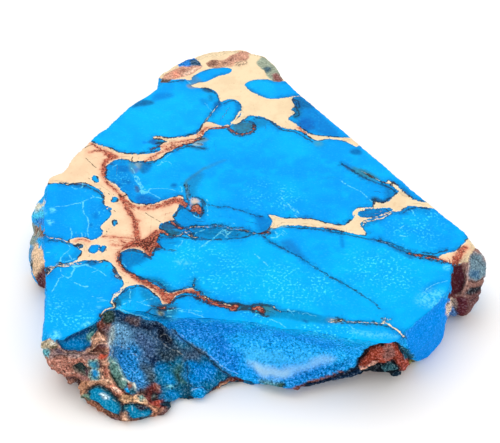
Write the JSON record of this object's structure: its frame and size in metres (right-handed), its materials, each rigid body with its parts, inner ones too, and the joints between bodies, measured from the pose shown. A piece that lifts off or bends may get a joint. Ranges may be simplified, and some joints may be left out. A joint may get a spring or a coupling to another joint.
{
  "type": "raw turquoise slab",
  "caption": "Flat slab of raw blue stone with cream and rust veins, sawn flat above and below and broken at its sides, that lies flat as a display or cutting piece.",
  "frame": {"origin": "centre of the bounding box, on the sawn underside", "axes": "+Z out of the sawn top face, +Y from the broken front towards the knob at the back, +X towards the long right side"},
  "size_m": [0.0723, 0.0807, 0.012],
  "materials": {
    "turquoise": "sawn and half polished on top, granular on the broken sides"
  },
  "bodies": {
    "root": {"turquoise_slab": "turquoise"}
  },
  "joints": []
}
